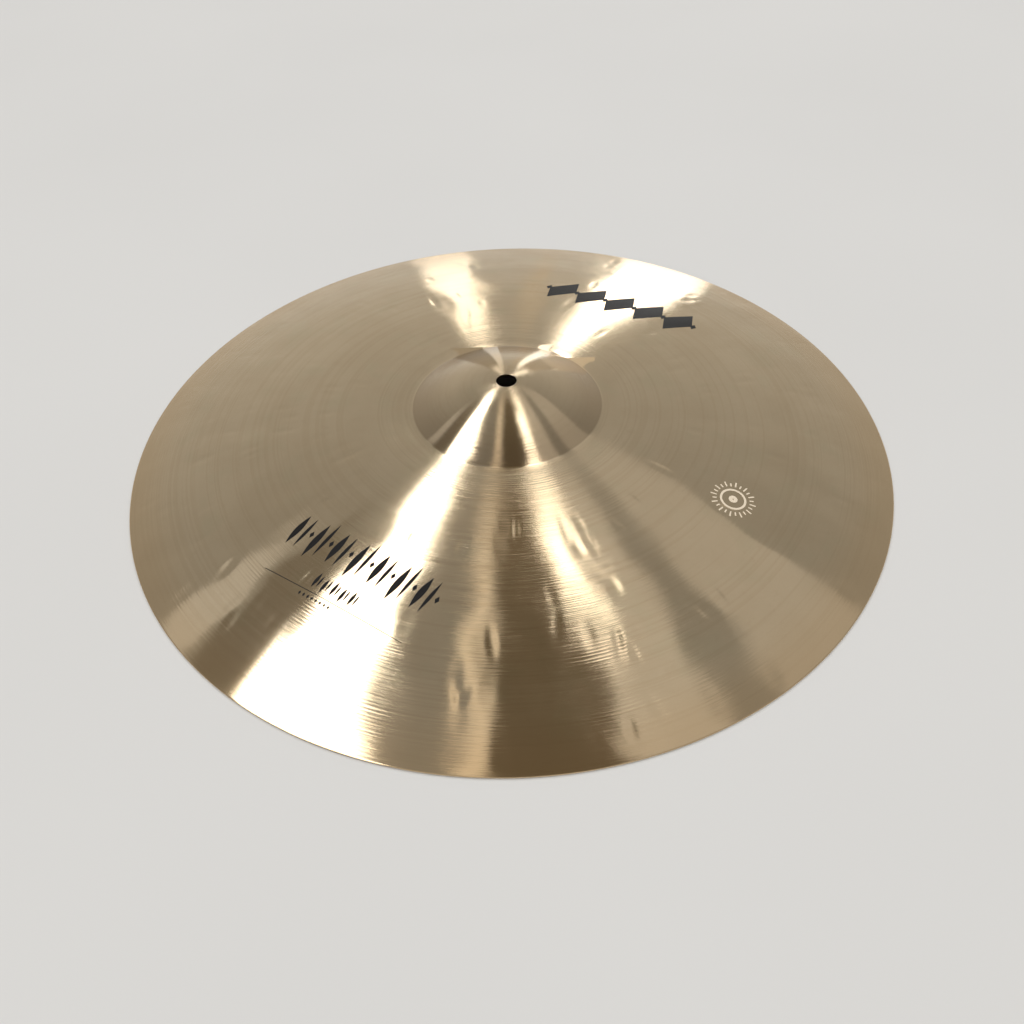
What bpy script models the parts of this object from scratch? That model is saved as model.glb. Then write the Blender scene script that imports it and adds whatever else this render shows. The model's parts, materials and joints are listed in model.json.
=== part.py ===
"""A 19 inch hand-hammered crash cymbal: one turned sheet of bell bronze.

Units are metres and +Z is up. The origin is the centre of the rim, on the surface that the
cymbal rests on when it lies bell up, so the Z axis is the axis of the centre hole.
Run it with: blender --background --python part.py
"""

import math

import bpy

# Driving dimensions of the disc
DIAMETER = 0.4826            # 19 inches over the rim
HOLE_DIAMETER = 0.0127       # half an inch, for a stand's threaded rod in its sleeve
BELL_DIAMETER = 0.121        # where the bell meets the bow
SEAT_DIAMETER = 0.023        # flat land round the hole, where the felt washer sits
BOW_HEIGHT = 0.0327          # top of the bow at the bell's base, above the resting plane
BELL_HEIGHT = 0.0176         # top of the seat above the bell's base

# Thickness of the metal, measured square to its surface
BELL_THICKNESS = 0.00130
BOW_THICKNESS = 0.00105
RIM_THICKNESS = 0.00080

# Shape of the turned profile
BOW_CURVE = 1.9              # 1 would be a straight cone, 2 a parabola
BELL_CROWN_CURVE = 1.72      # how quickly the crown falls away from the seat
BELL_FOOT_CURVE = 1.2        # above 1, so that the bell's foot runs into the bow in a fillet
HOLE_CHAMFER = 0.00020
RIM_FLAT = 0.0006            # width of the land that the rim rests on
RIM_MARGIN = 0.004           # outermost part of the bow, which runs into the land

# How finely the profile is divided
TURN_STEPS = 96
BELL_SEGMENTS = 9
BOW_SEGMENTS = 8
RIM_ROUND_SEGMENTS = 4

RIM_RADIUS = DIAMETER / 2
HOLE_RADIUS = HOLE_DIAMETER / 2
BELL_RADIUS = BELL_DIAMETER / 2
SEAT_RADIUS = SEAT_DIAMETER / 2

BRONZE_COLOUR = (0.46, 0.34, 0.20, 1.0)
BRONZE_ROUGHNESS = 0.28


def top_height(radius):
    """Height of the upper surface above the resting plane, at a radius from the seat outwards."""
    if radius <= BELL_RADIUS:
        across = max(radius - SEAT_RADIUS, 0.0) / (BELL_RADIUS - SEAT_RADIUS)
        return BOW_HEIGHT + BELL_HEIGHT * (1 - across**BELL_CROWN_CURVE) ** BELL_FOOT_CURVE
    across = (radius - BELL_RADIUS) / (RIM_RADIUS - BELL_RADIUS)
    fall = BOW_HEIGHT - RIM_THICKNESS
    return BOW_HEIGHT - fall * across**BOW_CURVE


def thickness(radius):
    """Metal thickness: the bell is the thickest, and the bow thins towards the rim."""
    if radius <= BELL_RADIUS:
        across = max(radius - SEAT_RADIUS, 0.0) / (BELL_RADIUS - SEAT_RADIUS)
        return BELL_THICKNESS + (BOW_THICKNESS - BELL_THICKNESS) * across
    across = (radius - BELL_RADIUS) / (RIM_RADIUS - BELL_RADIUS)
    return BOW_THICKNESS + (RIM_THICKNESS - BOW_THICKNESS) * across


def underside_point(radius):
    """The point of the lower surface that lies square below the upper surface at this radius."""
    step = 0.0002
    rise = top_height(radius + step) - top_height(radius - step)
    length = math.hypot(rise, 2 * step)
    depth = thickness(radius)
    return radius + depth * rise / length, top_height(radius) - depth * 2 * step / length


def spread(start, end, segments):
    """Radii from start to end in equal steps, both ends included."""
    return [start + (end - start) * i / segments for i in range(segments + 1)]


def bell_radii():
    """Radii from the seat to the bell's foot, closer together at the foot, where the curve turns."""
    width = BELL_RADIUS - SEAT_RADIUS
    quarter = math.pi / 2
    return [SEAT_RADIUS + width * math.sin(quarter * i / BELL_SEGMENTS) for i in range(BELL_SEGMENTS + 1)]


def turned_profile():
    """Closed outline of the metal as (radius, height), from the hole over the top to the rim and back."""
    seat_top = top_height(SEAT_RADIUS)
    seat_under = seat_top - BELL_THICKNESS
    rim_round = RIM_THICKNESS / 2
    land_radius = RIM_RADIUS - rim_round - RIM_FLAT
    bow_radii = spread(BELL_RADIUS, RIM_RADIUS - RIM_MARGIN, BOW_SEGMENTS)
    radii = bell_radii() + bow_radii[1:]

    outline = [(HOLE_RADIUS, seat_top - HOLE_CHAMFER), (HOLE_RADIUS + HOLE_CHAMFER, seat_top)]
    outline += [(radius, top_height(radius)) for radius in radii + [land_radius]]
    for i in range(RIM_ROUND_SEGMENTS + 1):
        turn = math.pi / 2 * (1 - 2 * i / RIM_ROUND_SEGMENTS)
        outline.append(
            (RIM_RADIUS - rim_round + rim_round * math.cos(turn), rim_round * (1 + math.sin(turn)))
        )
    outline.append((land_radius, 0.0))
    outline += [underside_point(radius) for radius in reversed(radii[1:])]
    outline.append((SEAT_RADIUS, seat_under))
    outline += [(HOLE_RADIUS + HOLE_CHAMFER, seat_under), (HOLE_RADIUS, seat_under + HOLE_CHAMFER)]
    return outline


def bronze_material():
    """Lathed bell bronze: a warm metal with a satin shine."""
    material = bpy.data.materials.new("bell_bronze")
    material.use_nodes = True
    shader = material.node_tree.nodes["Principled BSDF"]
    shader.inputs["Base Color"].default_value = BRONZE_COLOUR
    shader.inputs["Metallic"].default_value = 1.0
    shader.inputs["Roughness"].default_value = BRONZE_ROUGHNESS
    material.diffuse_color = BRONZE_COLOUR
    return material


def make_cymbal(collection):
    """The whole disc, as its outline turned once round the Z axis."""
    outline = turned_profile()
    corners = [(radius, 0.0, height) for radius, height in outline]
    edges = [(i, (i + 1) % len(corners)) for i in range(len(corners))]
    mesh = bpy.data.meshes.new("cymbal")
    mesh.from_pydata(corners, edges, [])
    cymbal = bpy.data.objects.new("cymbal", mesh)
    collection.objects.link(cymbal)

    turn = cymbal.modifiers.new("turn", "SCREW")
    turn.axis = "Z"
    turn.angle = 2 * math.pi
    turn.screw_offset = 0.0
    turn.steps = TURN_STEPS
    turn.render_steps = TURN_STEPS
    turn.use_merge_vertices = True
    turn.merge_threshold = 0.00001
    turn.use_smooth_shade = True
    mesh.materials.append(bronze_material())
    return cymbal


def main():
    for old in list(bpy.data.objects):
        bpy.data.objects.remove(old, do_unlink=True)
    collection = bpy.data.collections.new("crash_cymbal")
    bpy.context.scene.collection.children.link(collection)
    make_cymbal(collection)


main()
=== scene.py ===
"""The looks of a 19 inch crash cymbal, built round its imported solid.

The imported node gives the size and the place. This script replaces it with a finely divided skin
that carries the hammer dents, gives it a lathed bell bronze, and adds the printed and etched marks.
Metres and +Z up throughout, with the origin at the middle of the rim's resting plane.
"""

import json
import math

import bmesh
import bpy
import numpy as np
from mathutils import Matrix, Vector

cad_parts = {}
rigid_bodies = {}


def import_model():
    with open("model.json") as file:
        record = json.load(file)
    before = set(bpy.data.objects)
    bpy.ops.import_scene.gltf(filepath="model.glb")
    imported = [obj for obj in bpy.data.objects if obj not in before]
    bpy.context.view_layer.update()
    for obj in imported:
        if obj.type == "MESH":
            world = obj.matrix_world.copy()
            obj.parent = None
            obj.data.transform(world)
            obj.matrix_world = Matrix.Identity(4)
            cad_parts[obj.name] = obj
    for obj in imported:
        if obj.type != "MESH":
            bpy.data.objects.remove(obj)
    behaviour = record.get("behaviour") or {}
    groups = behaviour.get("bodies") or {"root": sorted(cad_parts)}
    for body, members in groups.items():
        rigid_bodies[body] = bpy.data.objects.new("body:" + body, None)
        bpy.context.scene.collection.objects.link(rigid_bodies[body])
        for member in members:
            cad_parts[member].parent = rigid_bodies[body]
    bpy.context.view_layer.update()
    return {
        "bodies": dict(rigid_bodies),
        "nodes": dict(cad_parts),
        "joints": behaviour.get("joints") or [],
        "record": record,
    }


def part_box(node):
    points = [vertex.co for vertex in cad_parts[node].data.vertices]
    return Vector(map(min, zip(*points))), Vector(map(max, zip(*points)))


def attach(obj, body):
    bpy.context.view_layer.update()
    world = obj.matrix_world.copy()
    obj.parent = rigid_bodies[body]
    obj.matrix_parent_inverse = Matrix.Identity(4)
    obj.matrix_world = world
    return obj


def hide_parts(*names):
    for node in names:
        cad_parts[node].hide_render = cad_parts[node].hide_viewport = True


MM = 0.001
BODY = "root"

# Shape of the disc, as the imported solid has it
HOLE_RADIUS = 6.35 * MM
SEAT_RADIUS = 11.5 * MM
BELL_RADIUS = 60.5 * MM
BOW_HEIGHT = 32.7 * MM
BELL_HEIGHT = 17.6 * MM
BOW_CURVE = 1.9
BELL_CROWN_CURVE = 1.72
BELL_FOOT_CURVE = 1.2
BELL_THICKNESS = 1.30 * MM
BOW_THICKNESS = 1.05 * MM
RIM_THICKNESS = 0.80 * MM
HOLE_CHAMFER = 0.20 * MM

# How finely the skin is divided
HAMMERED_RADIUS = 118 * MM   # the bow outside this carries most of the dents, in closer rings
FINE_SECTORS = 960           # points in a ring of the bow; the bell and the underside have fewer
INNER_BOW_RINGS = 13
OUTER_BOW_RINGS = 52
TOP_BELL_RINGS = 24
UNDER_BOW_RINGS = 23
UNDER_BELL_RINGS = 10
RIM_SEGMENTS = 6

# Finish of the metal
ROUGHNESS = 0.13
GROOVE_DEPTH = 0.03          # of the finest grooves, in millimetres of the noise's full range
BELL_GROOVE_DEPTH = 0.04     # the same, on the bell
SHORT_GROOVE_DEPTH = 0.05    # the same, of the short grooves

# Light colours and the planes that the softboxes lie in
WHITE = (1.0, 0.99, 0.97)
CREAM = (1.0, 0.96, 0.90)
TAN = (1.0, 0.90, 0.76)
BROWN = (1.0, 0.82, 0.58)
CEILING = 1.5
BACK = 2.5

# The camera of the reference view: in front, above, and tipped a little
CAMERA_PLACE = Vector((0.0, -0.45815, 0.40658))
CAMERA_TARGET = Vector((0.0002, -0.0646, 0.0))
CAMERA_LENS = 32.7
CAMERA_ROLL = math.radians(2.30)

# The floor lies a little below the rim, so that the two don't touch
FLOOR_LEVEL = -0.4 * MM
FLOOR_SPAN = 45.0            # from the middle to each side
FLOOR_LIGHT = 2.15
FLOOR_LIGHT_SPREAD = math.radians(110)

# Marks
INK_THICKNESS = 0.03 * MM
INK_CLEARANCE = 0.02 * MM    # gap between a film and the metal that it follows
MARK_GRID = 1.2 * MM         # the marks bend with the metal at this spacing


# ---------------------------------------------------------------- profile of the disc

def top_height(radius):
    """Height of the smooth upper surface at each radius, before hammering."""
    crown = np.clip((radius - SEAT_RADIUS) / (BELL_RADIUS - SEAT_RADIUS), 0, 1)
    bow = np.clip((radius - BELL_RADIUS) / (RIM_RADIUS - BELL_RADIUS), 0, 1)
    bell_rise = BELL_HEIGHT * (1 - crown**BELL_CROWN_CURVE) ** BELL_FOOT_CURVE
    return BOW_HEIGHT + bell_rise - (BOW_HEIGHT - RIM_THICKNESS) * bow**BOW_CURVE


def top_slope(radius):
    """Rise of the upper surface per unit of radius."""
    step = 0.1 * MM
    return (top_height(radius + step) - top_height(radius - step)) / (2 * step)


def metal_thickness(radius):
    """The bell is the thickest, and the bow thins towards the rim."""
    stations = [SEAT_RADIUS, BELL_RADIUS, RIM_RADIUS]
    return np.interp(radius, stations, [BELL_THICKNESS, BOW_THICKNESS, RIM_THICKNESS])


# ---------------------------------------------------------------- hammering

def smooth_step(value, start, end):
    """0 before start, 1 after end, and a smooth run between them."""
    share = np.clip((value - start) / (end - start), 0, 1)
    return share * share * (3 - 2 * share)


def scatter(rng, count, inner, outer):
    """count random places spread evenly over a ring, as radii and angles."""
    radii = np.sqrt(rng.uniform(inner**2, outer**2, count))
    return radii, rng.uniform(0, 2 * math.pi, count)


class Hammering:
    """The hammer's dents, as a small height to add to the smooth surface."""

    # name: count, inner radius, outer radius, half length along the radius, half width, depth
    BLOWS = {
        "broad": (80, 120, 234, (9, 15), (5, 9), (0.05, 0.13)),
        "middle": (110, 90, 236, (5, 9), (2.4, 3.6), (0.01, 0.04)),
        "sharp": (170, 98, 236.5, (2.8, 5.6), (1.4, 2.2), (0.03, 0.11)),
        "bell": (16, 24, 54, (3, 6), (2, 4), (0.004, 0.010)),
    }
    CRISPNESS = 1.5          # 1 gives a dent soft sides, more gives it a flatter floor

    def __init__(self, seed):
        rng = np.random.default_rng(seed)
        self.dents = []
        for count, inner, outer, lengths, widths, depths in self.BLOWS.values():
            radii, turns = scatter(rng, count, inner, outer)
            rows = np.column_stack([
                radii,
                turns,
                rng.uniform(*lengths, count),
                rng.uniform(*widths, count),
                rng.uniform(*depths, count),
                rng.normal(0, 0.18, count),
            ])
            self.dents.append(rows)
        self.dents = np.concatenate(self.dents)
        self.waves = [
            (rng.uniform(0, 2 * math.pi), rng.uniform(26, 60), rng.uniform(0, 2 * math.pi))
            for _ in range(26)
        ]

    def depth_mm(self, x, y):
        """Signed height in millimetres at points given in millimetres."""
        radius = np.hypot(x, y)
        height = np.zeros_like(radius)
        for heading, length, phase in self.waves:
            along = x * math.cos(heading) + y * math.sin(heading)
            height += 0.014 * length / 40 * np.sin(2 * math.pi * along / length + phase)
        height *= smooth_step(radius, 90, 160)
        order = np.argsort(radius)
        ordered = radius[order]
        for r, turn, half_length, half_width, depth, skew in self.dents:
            reach = 3.2 * half_length
            low, high = np.searchsorted(ordered, [r - reach, r + reach])
            near = order[low:high]
            out, across = math.cos(turn + skew), math.sin(turn + skew)
            dx, dy = x[near] - r * math.cos(turn), y[near] - r * math.sin(turn)
            along = (dx * out + dy * across) / half_length
            aside = (-dx * across + dy * out) / half_width
            height[near] -= depth * np.exp(-((0.5 * (along**2 + aside**2)) ** self.CRISPNESS))
        fade = smooth_step(radius, 16, 26) * (1 - smooth_step(radius, 236, 240.4))
        return height * fade


# ---------------------------------------------------------------- the skin of the disc

class Skin:
    """Rings of points, joined one to the next into one closed mesh."""

    def __init__(self):
        self.points = []
        self.faces = []
        self.count = 0
        self.first = None
        self.last = None

    def ring(self, radius, height, sectors, lift=None):
        """Adds a ring and joins it to the last one. lift gives each point's share of hammering."""
        turns = np.arange(sectors) * 2 * math.pi / sectors
        x, y = radius * np.cos(turns), radius * np.sin(turns)
        z = np.full(sectors, height) if lift is None else height + lift(x, y)
        self.points.append(np.column_stack([x, y, z]))
        here = (self.count, sectors)
        self.count += sectors
        if self.last is not None:
            self.join(self.last, here)
        else:
            self.first = here
        self.last = here

    def join(self, a, b):
        """Faces between ring a and ring b. b may have as many points, half or twice as many."""
        start_a, many_a = a
        start_b, many_b = b
        if many_a == many_b:
            i = np.arange(many_a)
            j = (i + 1) % many_a
            quads = np.column_stack([start_a + i, start_b + i, start_b + j, start_a + j])
            self.faces.extend(quads.tolist())
            return
        fewer, many = min(many_a, many_b), max(many_a, many_b)
        i = np.arange(fewer)
        j = (i + 1) % fewer
        half, whole = 2 * i + 1, (2 * i + 2) % many
        if many_a > many_b:
            corners = [
                (start_a + 2 * i, start_b + i, start_a + half),
                (start_a + half, start_b + i, start_b + j),
                (start_a + half, start_b + j, start_a + whole),
            ]
        else:
            corners = [
                (start_a + i, start_b + 2 * i, start_b + half),
                (start_a + i, start_b + half, start_a + j),
                (start_a + j, start_b + half, start_b + whole),
            ]
        for three in corners:
            self.faces.extend(np.column_stack(three).tolist())

    def mesh(self, name):
        self.join(self.last, self.first)
        mesh = bpy.data.meshes.new(name)
        mesh.from_pydata(np.concatenate(self.points).tolist(), [], self.faces)
        mesh.update()
        return mesh


def hammer_lift(x, y):
    """Hammering as a height in metres. Both faces of the sheet move together."""
    return HAMMERING.depth_mm(x / MM, y / MM) * MM


def under_point(radius):
    """Radius and height of the smooth lower surface, square below the upper one."""
    slope = top_slope(radius)
    length = math.hypot(1, slope)
    depth = metal_thickness(radius)
    return radius + depth * slope / length, top_height(radius) - depth / length


def make_cymbal():
    """The disc in one closed skin: down the outside from the hole, round the rim and back below."""
    fine, middling, coarse = FINE_SECTORS, FINE_SECTORS // 2, FINE_SECTORS // 4
    seat_top = top_height(SEAT_RADIUS)
    seat_under = seat_top - BELL_THICKNESS
    rim_round = RIM_THICKNESS / 2
    skin = Skin()

    skin.ring(HOLE_RADIUS, seat_top - HOLE_CHAMFER, coarse)
    skin.ring(HOLE_RADIUS + 0.3 * HOLE_CHAMFER, seat_top - 0.3 * HOLE_CHAMFER, coarse)
    skin.ring(HOLE_RADIUS + HOLE_CHAMFER, seat_top, coarse)
    skin.ring(HOLE_RADIUS + 2 * HOLE_CHAMFER, seat_top, coarse)
    for i in range(1, TOP_BELL_RINGS + 1):
        share = math.sin(math.pi / 2 * (0.25 * i / TOP_BELL_RINGS + 0.75 * (i / TOP_BELL_RINGS)))
        radius = HOLE_RADIUS + 2 * HOLE_CHAMFER + (BELL_RADIUS - HOLE_RADIUS - 2 * HOLE_CHAMFER) * share
        skin.ring(radius, top_height(radius), coarse if radius < 20 * MM else middling, hammer_lift)
    inner = np.linspace(BELL_RADIUS, HAMMERED_RADIUS, INNER_BOW_RINGS + 1)[1:]
    outer = np.linspace(HAMMERED_RADIUS, RIM_RADIUS - 1.6 * MM, OUTER_BOW_RINGS + 1)[1:]
    for radius in (*inner, *outer):
        skin.ring(radius, top_height(radius), fine, hammer_lift)
    for inset in (1.0, 0.7, 0.5):
        radius = RIM_RADIUS - inset * MM
        skin.ring(radius, top_height(radius), fine)
    for i in range(RIM_SEGMENTS + 1):
        turn = math.radians(72 - 162 * i / RIM_SEGMENTS)
        skin.ring(
            RIM_RADIUS - rim_round + rim_round * math.cos(turn),
            rim_round * (1 + math.sin(turn)),
            fine,
        )
    skin.ring(RIM_RADIUS - rim_round - 0.3 * MM, 0.02 * MM, middling)
    for i in range(UNDER_BOW_RINGS, -1, -1):
        radius, height = under_point(BELL_RADIUS + (RIM_RADIUS - 3 * MM - BELL_RADIUS) * i / UNDER_BOW_RINGS)
        skin.ring(radius, height, middling, hammer_lift)
    for i in range(UNDER_BELL_RINGS - 1, 0, -1):
        share = math.sin(math.pi / 2 * i / UNDER_BELL_RINGS)
        radius, height = under_point(SEAT_RADIUS + (BELL_RADIUS - SEAT_RADIUS) * share)
        skin.ring(radius, height, coarse, hammer_lift)
    skin.ring(SEAT_RADIUS, seat_under, coarse)
    skin.ring(HOLE_RADIUS + HOLE_CHAMFER, seat_under, coarse)
    skin.ring(HOLE_RADIUS, seat_under + HOLE_CHAMFER, coarse)

    cymbal = bpy.data.objects.new("cymbal_disc", skin.mesh("cymbal_disc"))
    bpy.context.scene.collection.objects.link(cymbal)
    cymbal.data.shade_smooth()
    cymbal.data.materials.append(bronze_material())
    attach(cymbal, BODY)
    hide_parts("cymbal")
    return cymbal


# ---------------------------------------------------------------- materials

class Nodes:
    """Short ways to add and join shader nodes in a tree."""

    def __init__(self, tree):
        self.tree = tree

    @classmethod
    def of_material(cls, name):
        material = bpy.data.materials.new(name)
        material.use_nodes = True
        nodes = cls(material.node_tree)
        nodes.material = material
        nodes.shader = material.node_tree.nodes["Principled BSDF"]
        return nodes

    def add(self, kind, **settings):
        node = self.tree.nodes.new(kind)
        for key, value in settings.items():
            setattr(node, key, value)
        return node

    def join(self, source, target):
        self.tree.links.new(source, target)

    def feed(self, socket, value):
        """Sets a socket to a number or colour, or links it to another node's output."""
        if isinstance(value, bpy.types.NodeSocket):
            self.join(value, socket)
        else:
            socket.default_value = value

    def maths(self, operation, *values):
        node = self.add("ShaderNodeMath", operation=operation)
        for socket, value in zip(node.inputs, values):
            self.feed(socket, value)
        return node.outputs[0]

    def vector(self, operation, *values):
        node = self.add("ShaderNodeVectorMath", operation=operation)
        for socket, value in zip(node.inputs, values):
            self.feed(socket, value)
        return node.outputs["Value" if operation == "LENGTH" else "Vector"]

    def ramp(self, value, low, high, to_low=0.0, to_high=1.0, smooth=True):
        node = self.add("ShaderNodeMapRange")
        node.interpolation_type = "SMOOTHSTEP" if smooth else "LINEAR"
        for socket, number in zip(node.inputs, (value, low, high, to_low, to_high)):
            self.feed(socket, number)
        return node.outputs["Result"]

    def noise(self, vector, scale, detail=2.0, roughness=0.5):
        node = self.add("ShaderNodeTexNoise")
        self.join(vector, node.inputs["Vector"])
        node.inputs["Scale"].default_value = scale
        node.inputs["Detail"].default_value = detail
        node.inputs["Roughness"].default_value = roughness
        return node.outputs["Fac"]

    def blend(self, factor, first, second, mode="MIX"):
        node = self.add("ShaderNodeMix", data_type="RGBA", blend_type=mode)
        self.feed(node.inputs["Factor"], factor)
        self.feed(node.inputs[6], first)
        self.feed(node.inputs[7], second)
        return node.outputs[2]


def bronze_material():
    """Bell bronze with a lathe's circular grooves, which spread a highlight into rays from the hole."""
    n = Nodes.of_material("lathed_bell_bronze")
    place = n.vector("SCALE", n.add("ShaderNodeTexCoord").outputs["Object"])
    place.node.inputs["Scale"].default_value = 1 / MM
    flat = n.vector("MULTIPLY", place, (1.0, 1.0, 0.0))
    radius = n.vector("LENGTH", flat)

    # the lathe worked the outermost bow, the bow and the bell apart
    outer_zone = n.ramp(radius, 196.6, 197.4)
    bell_zone = n.ramp(radius, 60.2, 59.0)
    clamp_zone = n.ramp(radius, 20.4, 19.6)    # the lathe's pad left a plainer disc round the hole

    # grooves: quick changes along the radius, slow ones round the disc
    groove_place = n.add("ShaderNodeCombineXYZ")
    n.join(radius, groove_place.inputs["Z"])
    slow = n.vector("MULTIPLY", place, (0.006, 0.006, 0.0))
    groove_vector = n.vector("ADD", slow, groove_place.outputs[0])
    fine_groove = n.noise(groove_vector, 2.2, 2.0, 0.6)
    # short grooves also start and stop along their arcs, which frays the edge of a highlight
    short = n.vector("MULTIPLY", place, (0.03, 0.03, 0.0))
    short_groove = n.noise(n.vector("ADD", short, groove_place.outputs[0]), 1.5, 1.0, 0.6)
    line_groove = n.noise(groove_vector, 0.62, 0.0)
    wide_groove = n.noise(groove_vector, 0.045, 1.0)

    # bands where the tool's separate turns can be seen
    bands = n.ramp(wide_groove, 0.48, 0.62, 0.15, 0.75)
    rim_lines = n.maths("MULTIPLY", n.ramp(radius, 205.0, 216.0), n.ramp(radius, 234.0, 226.0))
    bands = n.maths("MAXIMUM", bands, rim_lines)
    pitch = n.maths("SINE", n.maths("MULTIPLY", radius, 2 * math.pi / 1.8))
    lines = n.maths("ADD", n.maths("MULTIPLY", line_groove, 0.075), n.maths("MULTIPLY", pitch, 0.014))

    clouds = n.noise(place, 0.022, 3.0, 0.55)
    tints = n.noise(place, 0.035, 2.0, 0.6)
    specks = n.noise(place, 0.2, 2.0, 0.6)
    warm = n.blend(n.ramp(clouds, 0.35, 0.65), (0.780, 0.630, 0.430, 1), (0.820, 0.670, 0.465, 1))
    warm = n.blend(n.ramp(tints, 0.5, 0.7, 0.0, 0.4), warm, (0.745, 0.64, 0.435, 1))
    warm = n.blend(n.ramp(specks, 0.58, 0.75, 0.0, 0.2), warm, (0.72, 0.57, 0.38, 1))
    warm = n.blend(n.maths("MULTIPLY", n.ramp(line_groove, 0.5, 0.68), 0.16), warm, (0.66, 0.50, 0.31, 1))
    warm = n.blend(n.ramp(radius, 205.0, 240.0, 0.0, 0.6), warm, (0.80, 0.60, 0.37, 1))
    # painted shade: the bell's colour darkens towards its foot, standing in for the dark room that its steep
    # sides mirror
    painted_foot_shade = n.maths("MULTIPLY", n.ramp(radius, 30.0, 56.0, 0.10, 0.70), bell_zone)
    warm = n.blend(painted_foot_shade, warm, (0.50, 0.385, 0.26, 1))
    n.join(warm, n.shader.inputs["Base Color"])
    n.shader.inputs["Metallic"].default_value = 1.0

    rough = n.ramp(fine_groove, 0.3, 0.7, ROUGHNESS - 0.015, ROUGHNESS + 0.015, smooth=False)
    rough = n.maths("ADD", rough, n.maths("MULTIPLY", outer_zone, 0.02))
    rough = n.maths("ADD", rough, n.maths("MULTIPLY", clamp_zone, 0.05))
    n.join(rough, n.shader.inputs["Roughness"])
    n.shader.inputs["Anisotropic"].default_value = 1.0
    n.shader.inputs["Anisotropic Rotation"].default_value = 0.25
    tangent = n.add("ShaderNodeTangent", direction_type="RADIAL", axis="Z")
    n.join(tangent.outputs[0], n.shader.inputs["Tangent"])

    height = n.maths("MULTIPLY", lines, bands)
    fine_depth = n.ramp(bell_zone, 0.0, 1.0, GROOVE_DEPTH, BELL_GROOVE_DEPTH)
    height = n.maths("ADD", height, n.maths("MULTIPLY", fine_groove, fine_depth))
    fray = n.maths("MULTIPLY", n.ramp(radius, 90.0, 150.0, 0.3, 1.0), SHORT_GROOVE_DEPTH)
    height = n.maths("ADD", height, n.maths("MULTIPLY", short_groove, fray))
    bump = n.add("ShaderNodeBump")
    bump.inputs["Strength"].default_value = 1.0
    bump.inputs["Distance"].default_value = MM
    n.join(height, bump.inputs["Height"])
    n.join(bump.outputs[0], n.shader.inputs["Normal"])
    return n.material


def ink_material():
    """Black screen-printing ink with a slightly uneven gloss."""
    n = Nodes.of_material("printed_ink")
    place = n.vector("SCALE", n.add("ShaderNodeTexCoord").outputs["Object"])
    place.node.inputs["Scale"].default_value = 1 / MM
    grain = n.noise(place, 1.6, 2.0)
    n.join(n.blend(grain, (0.003, 0.003, 0.003, 1), (0.009, 0.008, 0.008, 1)), n.shader.inputs["Base Color"])
    n.join(n.ramp(grain, 0.3, 0.7, 0.38, 0.5), n.shader.inputs["Roughness"])
    n.shader.inputs["Specular IOR Level"].default_value = 0.15
    return n.material


def etched_material():
    """Bronze frosted by a laser: pale, and the same from every side."""
    n = Nodes.of_material("etched_bronze")
    place = n.vector("SCALE", n.add("ShaderNodeTexCoord").outputs["Object"])
    place.node.inputs["Scale"].default_value = 1 / MM
    grain = n.noise(place, 2.4, 2.0)
    n.join(n.blend(grain, (0.78, 0.66, 0.50, 1), (0.90, 0.79, 0.64, 1)), n.shader.inputs["Base Color"])
    n.join(n.ramp(grain, 0.3, 0.7, 0.5, 0.65), n.shader.inputs["Roughness"])
    n.shader.inputs["Metallic"].default_value = 0.35
    return n.material


# ---------------------------------------------------------------- marks

def leaf(u, v, width, height, lean=0.0):
    """A pointed leaf standing on (u, v): two arcs that meet at sharp ends."""
    side = []
    for i in range(9):
        share = i / 8
        side.append((math.sin(math.pi * share) * width / 2, share * height))
    right = [(u + x + lean * y, v + y) for x, y in side]
    left = [(u - x + lean * y, v + y) for x, y in reversed(side[1:-1])]
    return right + left


def lozenge(u, v, width, height, lean=0.0):
    """A rhombus centred on (u, v)."""
    half = height / 2
    return [
        (u + width / 2, v),
        (u + lean * half, v + half),
        (u - width / 2, v),
        (u - lean * half, v - half),
    ]


def bar(u0, u1, v, thickness):
    """A level bar from u0 to u1, standing on v."""
    return [(u0, v), (u1, v), (u1, v + thickness), (u0, v + thickness)]


def arc_strip(radius, thickness, start, end, steps):
    """A ring's stretch round the local origin, from angle start to end in degrees."""
    turns = [math.radians(start + (end - start) * i / steps) for i in range(steps + 1)]
    outer = [((radius + thickness) * math.cos(t), (radius + thickness) * math.sin(t)) for t in turns]
    inner = [(radius * math.cos(t), radius * math.sin(t)) for t in reversed(turns)]
    return outer + inner


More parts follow.
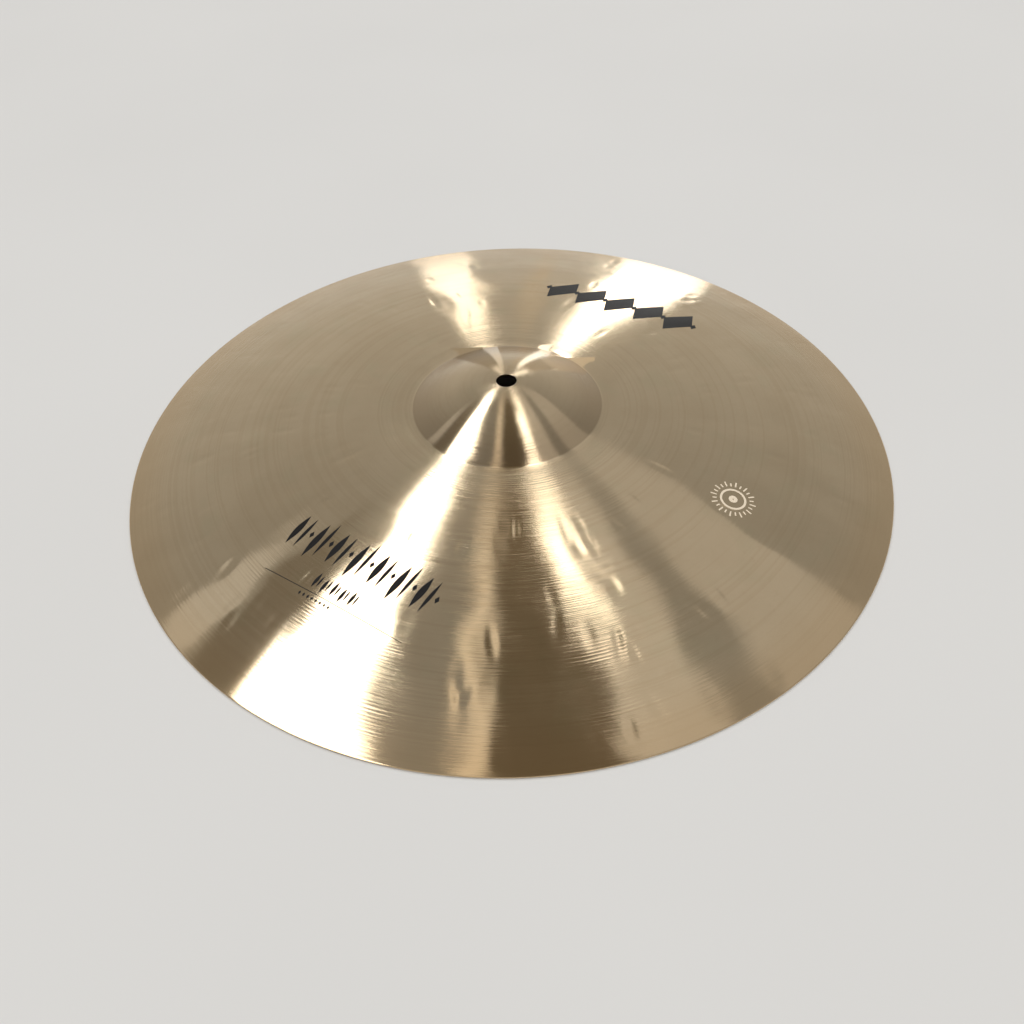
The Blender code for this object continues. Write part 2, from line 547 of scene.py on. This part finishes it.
def make_mark(name, outlines, azimuth, distance, outward, material, cymbal):
    """A thin film in the shape of outlines, given in millimetres and laid on the disc.

    Its local origin is at that azimuth and distance from the hole. Up is away from the hole if
    outward, and towards the hole if not.
    """
    shape = bmesh.new()
    for outline in outlines:
        shape.faces.new([shape.verts.new((u * MM, v * MM, 0)) for u, v in outline])
    shape.normal_update()
    for face in shape.faces:
        if face.normal.z < 0:
            face.normal_flip()
    spans = np.array([vertex.co[:2] for vertex in shape.verts])
    for axis in (0, 1):
        low, high = spans[:, axis].min(), spans[:, axis].max()
        for cut in np.arange(low + MARK_GRID, high, MARK_GRID):
            point = Vector((cut, 0, 0)) if axis == 0 else Vector((0, cut, 0))
            normal = Vector((1, 0, 0)) if axis == 0 else Vector((0, 1, 0))
            parts = shape.verts[:] + shape.edges[:] + shape.faces[:]
            bmesh.ops.bisect_plane(shape, geom=parts, plane_co=point, plane_no=normal, dist=1e-7)
    bmesh.ops.triangulate(shape, faces=shape.faces[:])
    mesh = bpy.data.meshes.new(name)
    shape.to_mesh(mesh)
    shape.free()

    turn = math.radians(azimuth)
    out = Vector((math.cos(turn), math.sin(turn), 0))
    up = out if outward else -out
    across = up.cross(Vector((0, 0, 1)))
    frame = Matrix((across, up, Vector((0, 0, 1)))).transposed().to_4x4()
    frame.translation = out * distance * MM + Vector((0, 0, 0.08))
    mesh.transform(frame)
    film = bpy.data.objects.new(name, mesh)
    bpy.context.scene.collection.objects.link(film)

    wrap = film.modifiers.new("lay_on_metal", "SHRINKWRAP")
    wrap.wrap_method = "PROJECT"
    wrap.use_project_z = True
    wrap.use_negative_direction = True
    wrap.use_positive_direction = False
    wrap.target = cymbal
    wrap.offset = INK_CLEARANCE
    thick = film.modifiers.new("film", "SOLIDIFY")
    thick.thickness = INK_THICKNESS
    thick.offset = 1.0
    mesh.materials.append(material)
    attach(film, BODY)
    return film


def far_mark():
    """A plain band of five equal slanted lozenges, with a small one in each gap and at each end."""
    shapes = [lozenge(-29 + 22.5 * i, 0, 21, 32, 0.35) for i in range(5)]
    shapes += [lozenge(-40.2 + 22.5 * i, 0, 4.5, 7) for i in range(6)]
    return shapes


def near_mark():
    """Pairs of slender leaves in a row, a shorter row, a thin rule and a run of ticks below it."""
    shapes = []
    for i in range(7):
        u = -44 + 14.6 * i
        taller = 3 * (i % 2)
        shapes.append(leaf(u - 2.6, 18 - taller, 4.0, 21 + taller, 0.08))
        shapes.append(leaf(u + 3.0, 18, 2.2, 21 + taller, 0.08))
        shapes.append(lozenge(u + 8.2, 29, 2.6, 4.6))
    for i in range(5):
        shapes.append(leaf(-14 + 6.2 * i, 2.4 - (i % 2), 2.1, 9.6, 0.08))
        shapes.append(leaf(-11.4 + 6.2 * i, 3.6, 1.2, 7.4, 0.08))
    shapes.append(bar(-46, 50, -0.2, 0.38))
    for i in range(8):
        shapes.append(lozenge(-17.5 + 2.9 * i, -3.0, 1.5, 2.4))
    return shapes


def etched_mark():
    """A small sun dial of ticks round a ring and a dot."""
    shapes = []
    for half in (0, 180):
        shapes.append(arc_strip(6.4, 1.3, half, half + 180, 24))
        shapes.append(arc_strip(0.4, 2.2, half, half + 180, 12))
    for i in range(24):
        turn = math.radians(15 * i)
        length = 3.6 if i % 2 else 2.4
        inner, outer = 9.6, 9.6 + length
        side = 0.42
        c, s = math.cos(turn), math.sin(turn)
        shapes.append([
            (inner * c + side * s, inner * s - side * c),
            (outer * c + side * s, outer * s - side * c),
            (outer * c - side * s, outer * s + side * c),
            (inner * c - side * s, inner * s + side * c),
        ])
    return shapes


def make_marks(cymbal):
    ink = ink_material()
    make_mark("ink_far_row", far_mark(), 60.4, 141.8, True, ink, cymbal)
    make_mark("ink_near_rows", near_mark(), 235.1, 175.2, False, ink, cymbal)
    make_mark("etched_dial", etched_mark(), 326.5, 153.0, True, etched_material(), cymbal)


# ---------------------------------------------------------------- stage

def make_floor():
    """A plain pale floor under the rim."""
    mesh = bpy.data.meshes.new("floor")
    signs = ((-1, -1), (1, -1), (1, 1), (-1, 1))
    corners = [(i * FLOOR_SPAN, j * FLOOR_SPAN, FLOOR_LEVEL) for i, j in signs]
    mesh.from_pydata(corners, [], [(0, 1, 2, 3)])
    floor = bpy.data.objects.new("floor", mesh)
    bpy.context.scene.collection.objects.link(floor)
    n = Nodes.of_material("pale_floor")
    place = n.add("ShaderNodeTexCoord").outputs["Object"]
    tone = n.noise(place, 3.0, 2.0)
    n.join(n.blend(tone, (0.66, 0.655, 0.645, 1), (0.70, 0.695, 0.685, 1)), n.shader.inputs["Base Color"])
    n.shader.inputs["Roughness"].default_value = 0.8
    n.shader.inputs["Specular IOR Level"].default_value = 0.1
    mesh.materials.append(n.material)


def make_panel(name, corners, colour, strength, one_sided=False):
    """A flat softbox that only shiny surfaces see: not the camera, and not the floor.

    A one-sided softbox is clear from behind.
    """
    mesh = bpy.data.meshes.new(name)
    mesh.from_pydata(corners, [], [tuple(range(len(corners)))])
    panel = bpy.data.objects.new(name, mesh)
    bpy.context.scene.collection.objects.link(panel)
    material = bpy.data.materials.new(name)
    material.use_nodes = True
    tree = material.node_tree
    tree.nodes.clear()
    glow = tree.nodes.new("ShaderNodeEmission")
    glow.inputs["Color"].default_value = (*colour, 1)
    glow.inputs["Strength"].default_value = strength
    out = tree.nodes.new("ShaderNodeOutputMaterial")
    if one_sided:
        clear = tree.nodes.new("ShaderNodeBsdfTransparent")
        side = tree.nodes.new("ShaderNodeNewGeometry")
        choose = tree.nodes.new("ShaderNodeMixShader")
        tree.links.new(side.outputs["Backfacing"], choose.inputs[0])
        tree.links.new(glow.outputs[0], choose.inputs[1])
        tree.links.new(clear.outputs[0], choose.inputs[2])
        tree.links.new(choose.outputs[0], out.inputs["Surface"])
    else:
        tree.links.new(glow.outputs[0], out.inputs["Surface"])
    mesh.materials.append(material)
    panel.visible_camera = False
    panel.visible_diffuse = False
    panel.visible_shadow = False


CEILING_PANELS = (
    # name, corners as (x, y), colour, strength
    ("right", ((0.20, 1.46), (0.58, 0.67), (0.99, 0.11), (1.60, -0.50),
               (2.70, 0.10), (1.22, 0.77), (0.56, 1.25), (0.29, 1.54)), CREAM, 0.45),
    ("left_dark", ((-0.75, 0.90), (-1.09, 0.63), (-1.61, 0.31), (-2.30, -0.10),
                   (-1.90, -0.40), (-1.14, 0.21), (-0.91, 0.45), (-0.62, 0.75)), TAN, 0.19),
    ("left_end", ((-1.05, 0.90), (-1.26, 0.84), (-1.90, 0.61), (-2.70, 0.30),
                  (-2.40, -0.05), (-1.65, 0.40), (-1.12, 0.67)), WHITE, 0.55),
    ("key", ((-0.14, 1.47), (-0.33, 0.68), (-0.55, 0.20), (-0.65, -0.30), (-1.00, -1.60),
             (-2.20, -0.70), (-0.82, 0.42), (-0.56, 0.70), (-0.20, 1.51)), WHITE, 4.5),
    ("hair", ((-0.055, 1.39), (-0.275, -0.43), (-0.42, -1.60),
              (-0.23, -1.60), (-0.15, -0.43), (-0.03, 1.39)), TAN, 0.80),
    ("dark_end", ((-0.03, 1.39), (-0.07, 0.40), (0.16, 0.40), (0.11, 0.66), (0.045, 1.39)), BROWN, 0.16),
    ("dark", ((-0.07, 0.40), (-0.13, -0.44), (-0.25, -1.60),
              (0.70, -1.60), (0.38, -0.20), (0.28, 0.20), (0.19, 0.40)), BROWN, 0.13),
    ("tan", ((0.10, 1.43), (0.20, 0.93), (0.30, 0.50), (0.38, 0.20), (0.35, 0.08), (0.40, -0.20),
             (0.58, -1.00), (1.25, -0.75), (0.765, -0.045), (0.45, 0.58), (0.155, 1.425)), CREAM, 0.54),
    ("side", ((0.045, 1.43), (0.09, 0.89), (0.14, 0.62), (0.28, 0.24), (0.34, 0.12),
              (0.39, 0.10), (0.33, 0.38), (0.26, 0.62), (0.195, 0.93), (0.09, 1.44)), CREAM, 2.0),
)
BACK_PANELS = (
    # name, corners as (x, z), colour, strength
    ("key_behind", ((0.56, 0.0), (0.98, 0.0), (0.86, 0.48), (0.59, 1.05), (0.26, 1.79),
                    (0.18, 1.75), (0.38, 1.04), (0.51, 0.35)), WHITE, 4.0),
    ("side_behind", ((-0.16, 0.0), (-0.06, 1.65), (-0.13, 1.65), (-0.25, 1.05), (-0.40, 0.0)), CREAM, 2.1),
    ("hair_behind", ((0.175, 0.0), (0.275, 0.0), (0.095, 1.48), (0.055, 1.48)), TAN, 0.58),
)
CARDS_BEHIND_BELL = (
    # name, azimuths and radii of the stretch of bell that mirrors it, y of the card,
    # whether it reaches down to the bow, colour, strength
    ("bell_far_key", (55, 65), (58 * MM, 15 * MM), 60 * MM, True, WHITE, 1.8),
    ("bell_far_right", (28, 55), (42 * MM, 15 * MM), 60 * MM, False, TAN, 0.42),
    ("bell_far_foot", (26, 53), (58 * MM, 36 * MM), 44 * MM, True, TAN, 0.60),
    ("bell_far_side", (95, 105), (58 * MM, 15 * MM), 60 * MM, True, CREAM, 0.85),
    ("bell_far_left", (105, 128), (58 * MM, 15 * MM), 60 * MM, True, TAN, 0.36),
)
CARD_STEPS = 6               # straight stretches in each curved side of those cards
CARD_BOTTOM = 31.8 * MM      # just inside the metal of the bow there
BELL_CARD = ((0.052, -0.070), (0.083, -0.070), (0.046, 0.02), (0.022, 0.02))
BELL_CARD_HEIGHT = 0.25      # low enough to show as one ray on the bell and the bow alike
BELL_CARD_STRENGTH = 3.0
PANEL_DROP = 2 * MM          # each panel hangs this much nearer than the one before, and hides it

# Glow of the room towards a heading (x, y, z)
ROOM_COLOUR = (1.0, 0.965, 0.90, 1)
ROOM_GLOW = 0.35
RIGHT_GLOW = 0.02            # times x
LEFT_BACK_GLOW = 0.04        # times y and 1 - x
ENDS_GLOW = 0.17             # times y squared: brighter in front and behind than at the sides
OVERHEAD_SHADE = 0.09        # times z
HIGH_BACK_SHADE = 0.13       # times y and z
DIMMEST = 0.02


def mirrored(azimuth, radius, depth):
    """Where the camera's ray, mirrored by the smooth bell, crosses the upright plane y = depth."""
    turn = math.radians(azimuth)
    out = Vector((math.cos(turn), math.sin(turn), 0))
    point = out * radius + Vector((0, 0, top_height(radius)))
    normal = (Vector((0, 0, 1)) - out * top_slope(radius)).normalized()
    ray = (point - CAMERA_PLACE).reflect(normal)
    return point + ray * ((depth - point.y) / ray.y)


def card_outline(azimuths, radii, depth, standing):
    """The card that a stretch of the bell mirrors, as corners in an order that faces it to the front."""
    right, left = azimuths
    spread = np.linspace(*radii, CARD_STEPS + 1)
    outline = [mirrored(right, radius, depth) for radius in spread]
    outline += [mirrored(left, radius, depth) for radius in reversed(spread)]
    if standing:
        outline += [Vector((corner.x, depth, CARD_BOTTOM)) for corner in (outline[-1], outline[0])]
    return outline


def room_glow(n):
    """Strength of the room's light, from its five terms."""
    parts = n.add("ShaderNodeSeparateXYZ")
    n.join(n.add("ShaderNodeTexCoord").outputs["Generated"], parts.inputs[0])
    x, y, z = parts.outputs
    terms = (
        (x, RIGHT_GLOW),
        (n.maths("MULTIPLY", y, n.maths("SUBTRACT", 1.0, x)), LEFT_BACK_GLOW),
        (n.maths("MULTIPLY", y, y), ENDS_GLOW),
        (z, -OVERHEAD_SHADE),
        (n.maths("MULTIPLY", y, z), -HIGH_BACK_SHADE),
    )
    glow = ROOM_GLOW
    for term, factor in terms:
        glow = n.maths("ADD", n.maths("MULTIPLY", term, factor), glow)
    return n.maths("MAXIMUM", glow, DIMMEST)


def make_lights():
    """Long softboxes overhead, low ones behind, and small cards that only the bell mirrors.

    A lathed disc shows each softbox as a ray from its hole. The room between them glows faintly,
    and a wide sun, which the metal doesn't mirror, lights the floor and the marks.
    """
    for i, (name, outline, colour, strength) in enumerate(CEILING_PANELS):
        make_panel(name, [(x, y, CEILING - i * PANEL_DROP) for x, y in outline], colour, strength)
    for i, (name, outline, colour, strength) in enumerate(BACK_PANELS):
        make_panel(name, [(x, BACK - i * PANEL_DROP, z) for x, z in outline], colour, strength)
    for name, azimuths, radii, depth, standing, colour, strength in CARDS_BEHIND_BELL:
        outline = card_outline(azimuths, radii, depth, standing)
        make_panel(name, outline, colour, strength, one_sided=True)
    low_card = [(x, y, BELL_CARD_HEIGHT) for x, y in BELL_CARD]
    make_panel("bell_card", low_card, CREAM, BELL_CARD_STRENGTH)

    world = bpy.data.worlds.new("room")
    bpy.context.scene.world = world
    world.use_nodes = True
    tree = world.node_tree
    n = Nodes(tree)
    n.join(room_glow(n), tree.nodes["Background"].inputs["Strength"])
    tree.nodes["Background"].inputs["Color"].default_value = ROOM_COLOUR

    light = bpy.data.lights.new("floor_light", "SUN")
    light.angle = FLOOR_LIGHT_SPREAD
    light.energy = FLOOR_LIGHT
    lamp = bpy.data.objects.new("floor_light", light)
    lamp.visible_glossy = False
    lamp.visible_camera = False
    bpy.context.scene.collection.objects.link(lamp)


def make_camera():
    """A level camera turned by its roll about its line of sight."""
    data = bpy.data.cameras.new("camera")
    data.sensor_width = 36.0
    data.lens = CAMERA_LENS
    data.clip_start = 0.01
    data.clip_end = 200.0
    camera = bpy.data.objects.new("camera", data)
    bpy.context.scene.collection.objects.link(camera)
    look = (CAMERA_TARGET - CAMERA_PLACE).normalized()
    level = look.cross(Vector((0, 0, 1))).normalized()
    right = Matrix.Rotation(CAMERA_ROLL, 3, look) @ level
    up = right.cross(look)
    camera.matrix_world = Matrix((right, up, -look)).transposed().to_4x4()
    camera.location = CAMERA_PLACE
    bpy.context.scene.camera = camera


# ---------------------------------------------------------------- build

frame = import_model()
RIM_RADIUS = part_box("cymbal")[1].x
HAMMERING = Hammering(seed=19)

disc = make_cymbal()
make_marks(disc)
make_floor()
make_lights()
make_camera()
bpy.context.scene.view_settings.view_transform = "Standard"
